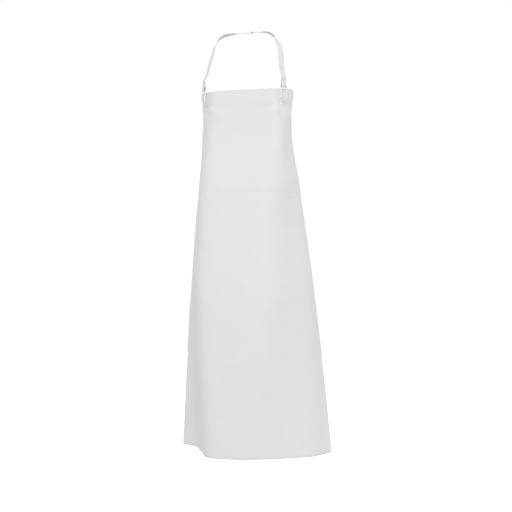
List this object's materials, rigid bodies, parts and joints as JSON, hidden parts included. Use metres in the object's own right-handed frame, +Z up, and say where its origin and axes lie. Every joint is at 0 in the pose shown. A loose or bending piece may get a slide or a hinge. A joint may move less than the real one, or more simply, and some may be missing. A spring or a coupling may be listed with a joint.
{
  "type": "butcher apron",
  "caption": "Full-length coated apron with a bib, hung from a neck strap on moulded hooks and eyelets and closed behind by a waist strap.",
  "frame": {"origin": "middle of the neck strap, where it lies on the wearer's nape", "axes": "+Z up, -Y the apron's front, +X towards the wearer's left-hand side as a viewer in front sees it on the right"},
  "size_m": [0.5418, 0.439, 1.4151],
  "materials": {
    "coated_fabric": "white coated fabric, satin, wipeable",
    "white_plastic": "white moulded plastic, slightly glossy",
    "strap_webbing": "white woven webbing"
  },
  "bodies": {
    "neck_strap": {"neck_strap": "strap_webbing"},
    "neck_slider": {"neck_slider": "white_plastic"},
    "neck_hooks": {"right_bib_hook": "white_plastic", "left_bib_hook": "white_plastic"},
    "apron": {"apron_panel": "coated_fabric", "bib_hem_band": "coated_fabric", "right_bib_patch": "coated_fabric", "right_bib_eyelet": "white_plastic", "right_bib_washer": "white_plastic", "left_bib_patch": "coated_fabric", "left_bib_eyelet": "white_plastic", "left_bib_washer": "white_plastic", "right_waist_patch": "coated_fabric", "right_waist_eyelet": "white_plastic", "right_waist_washer": "white_plastic", "left_waist_patch": "coated_fabric", "left_waist_eyelet": "white_plastic", "left_waist_washer": "white_plastic"},
    "waist_hooks": {"right_waist_hook": "white_plastic", "left_waist_hook": "white_plastic"},
    "waist_strap": {"waist_strap": "strap_webbing"},
    "waist_slider": {"waist_slider": "white_plastic"}
  },
  "joints": [
    {"name": "neck_slider_slide", "type": "slide", "parent": "neck_strap", "child": "neck_slider", "axis": [-0.9952, 0.0933, 0.0311], "range_m": [-0.006, 0.006]},
    {"name": "neck_hooks_swing", "type": "hinge", "parent": "neck_strap", "child": "neck_hooks", "pos_m": [0.00648, -0.0913, -0.19918], "axis": [0.9999, -0.0158, 0.0001], "range_deg": [-5, 5]},
    {"name": "apron_swing", "type": "hinge", "parent": "neck_hooks", "child": "apron", "pos_m": [0.00585, -0.08409, -0.251], "axis": [0.9997, -0.0232, 0], "range_deg": [-12, 3]},
    {"name": "waist_hooks_swing", "type": "hinge", "parent": "apron", "child": "waist_hooks", "pos_m": [-0.02798, 0.10064, -0.541], "axis": [0.9938, 0.1113, 0], "range_deg": [-12, 12], "stiffness_Nm_per_rad": 0.5},
    {"name": "waist_strap_swing", "type": "hinge", "parent": "waist_hooks", "child": "waist_strap", "pos_m": [-0.03698, 0.15203, -0.5386], "axis": [0.9942, 0.1075, -0.0013], "range_deg": [-5, 5], "stiffness_Nm_per_rad": 0.5},
    {"name": "waist_slider_slide", "type": "slide", "parent": "waist_strap", "child": "waist_slider", "axis": [-0.9945, -0.1047, 0.0014], "range_m": [-0.01, 0.01]}
  ]
}
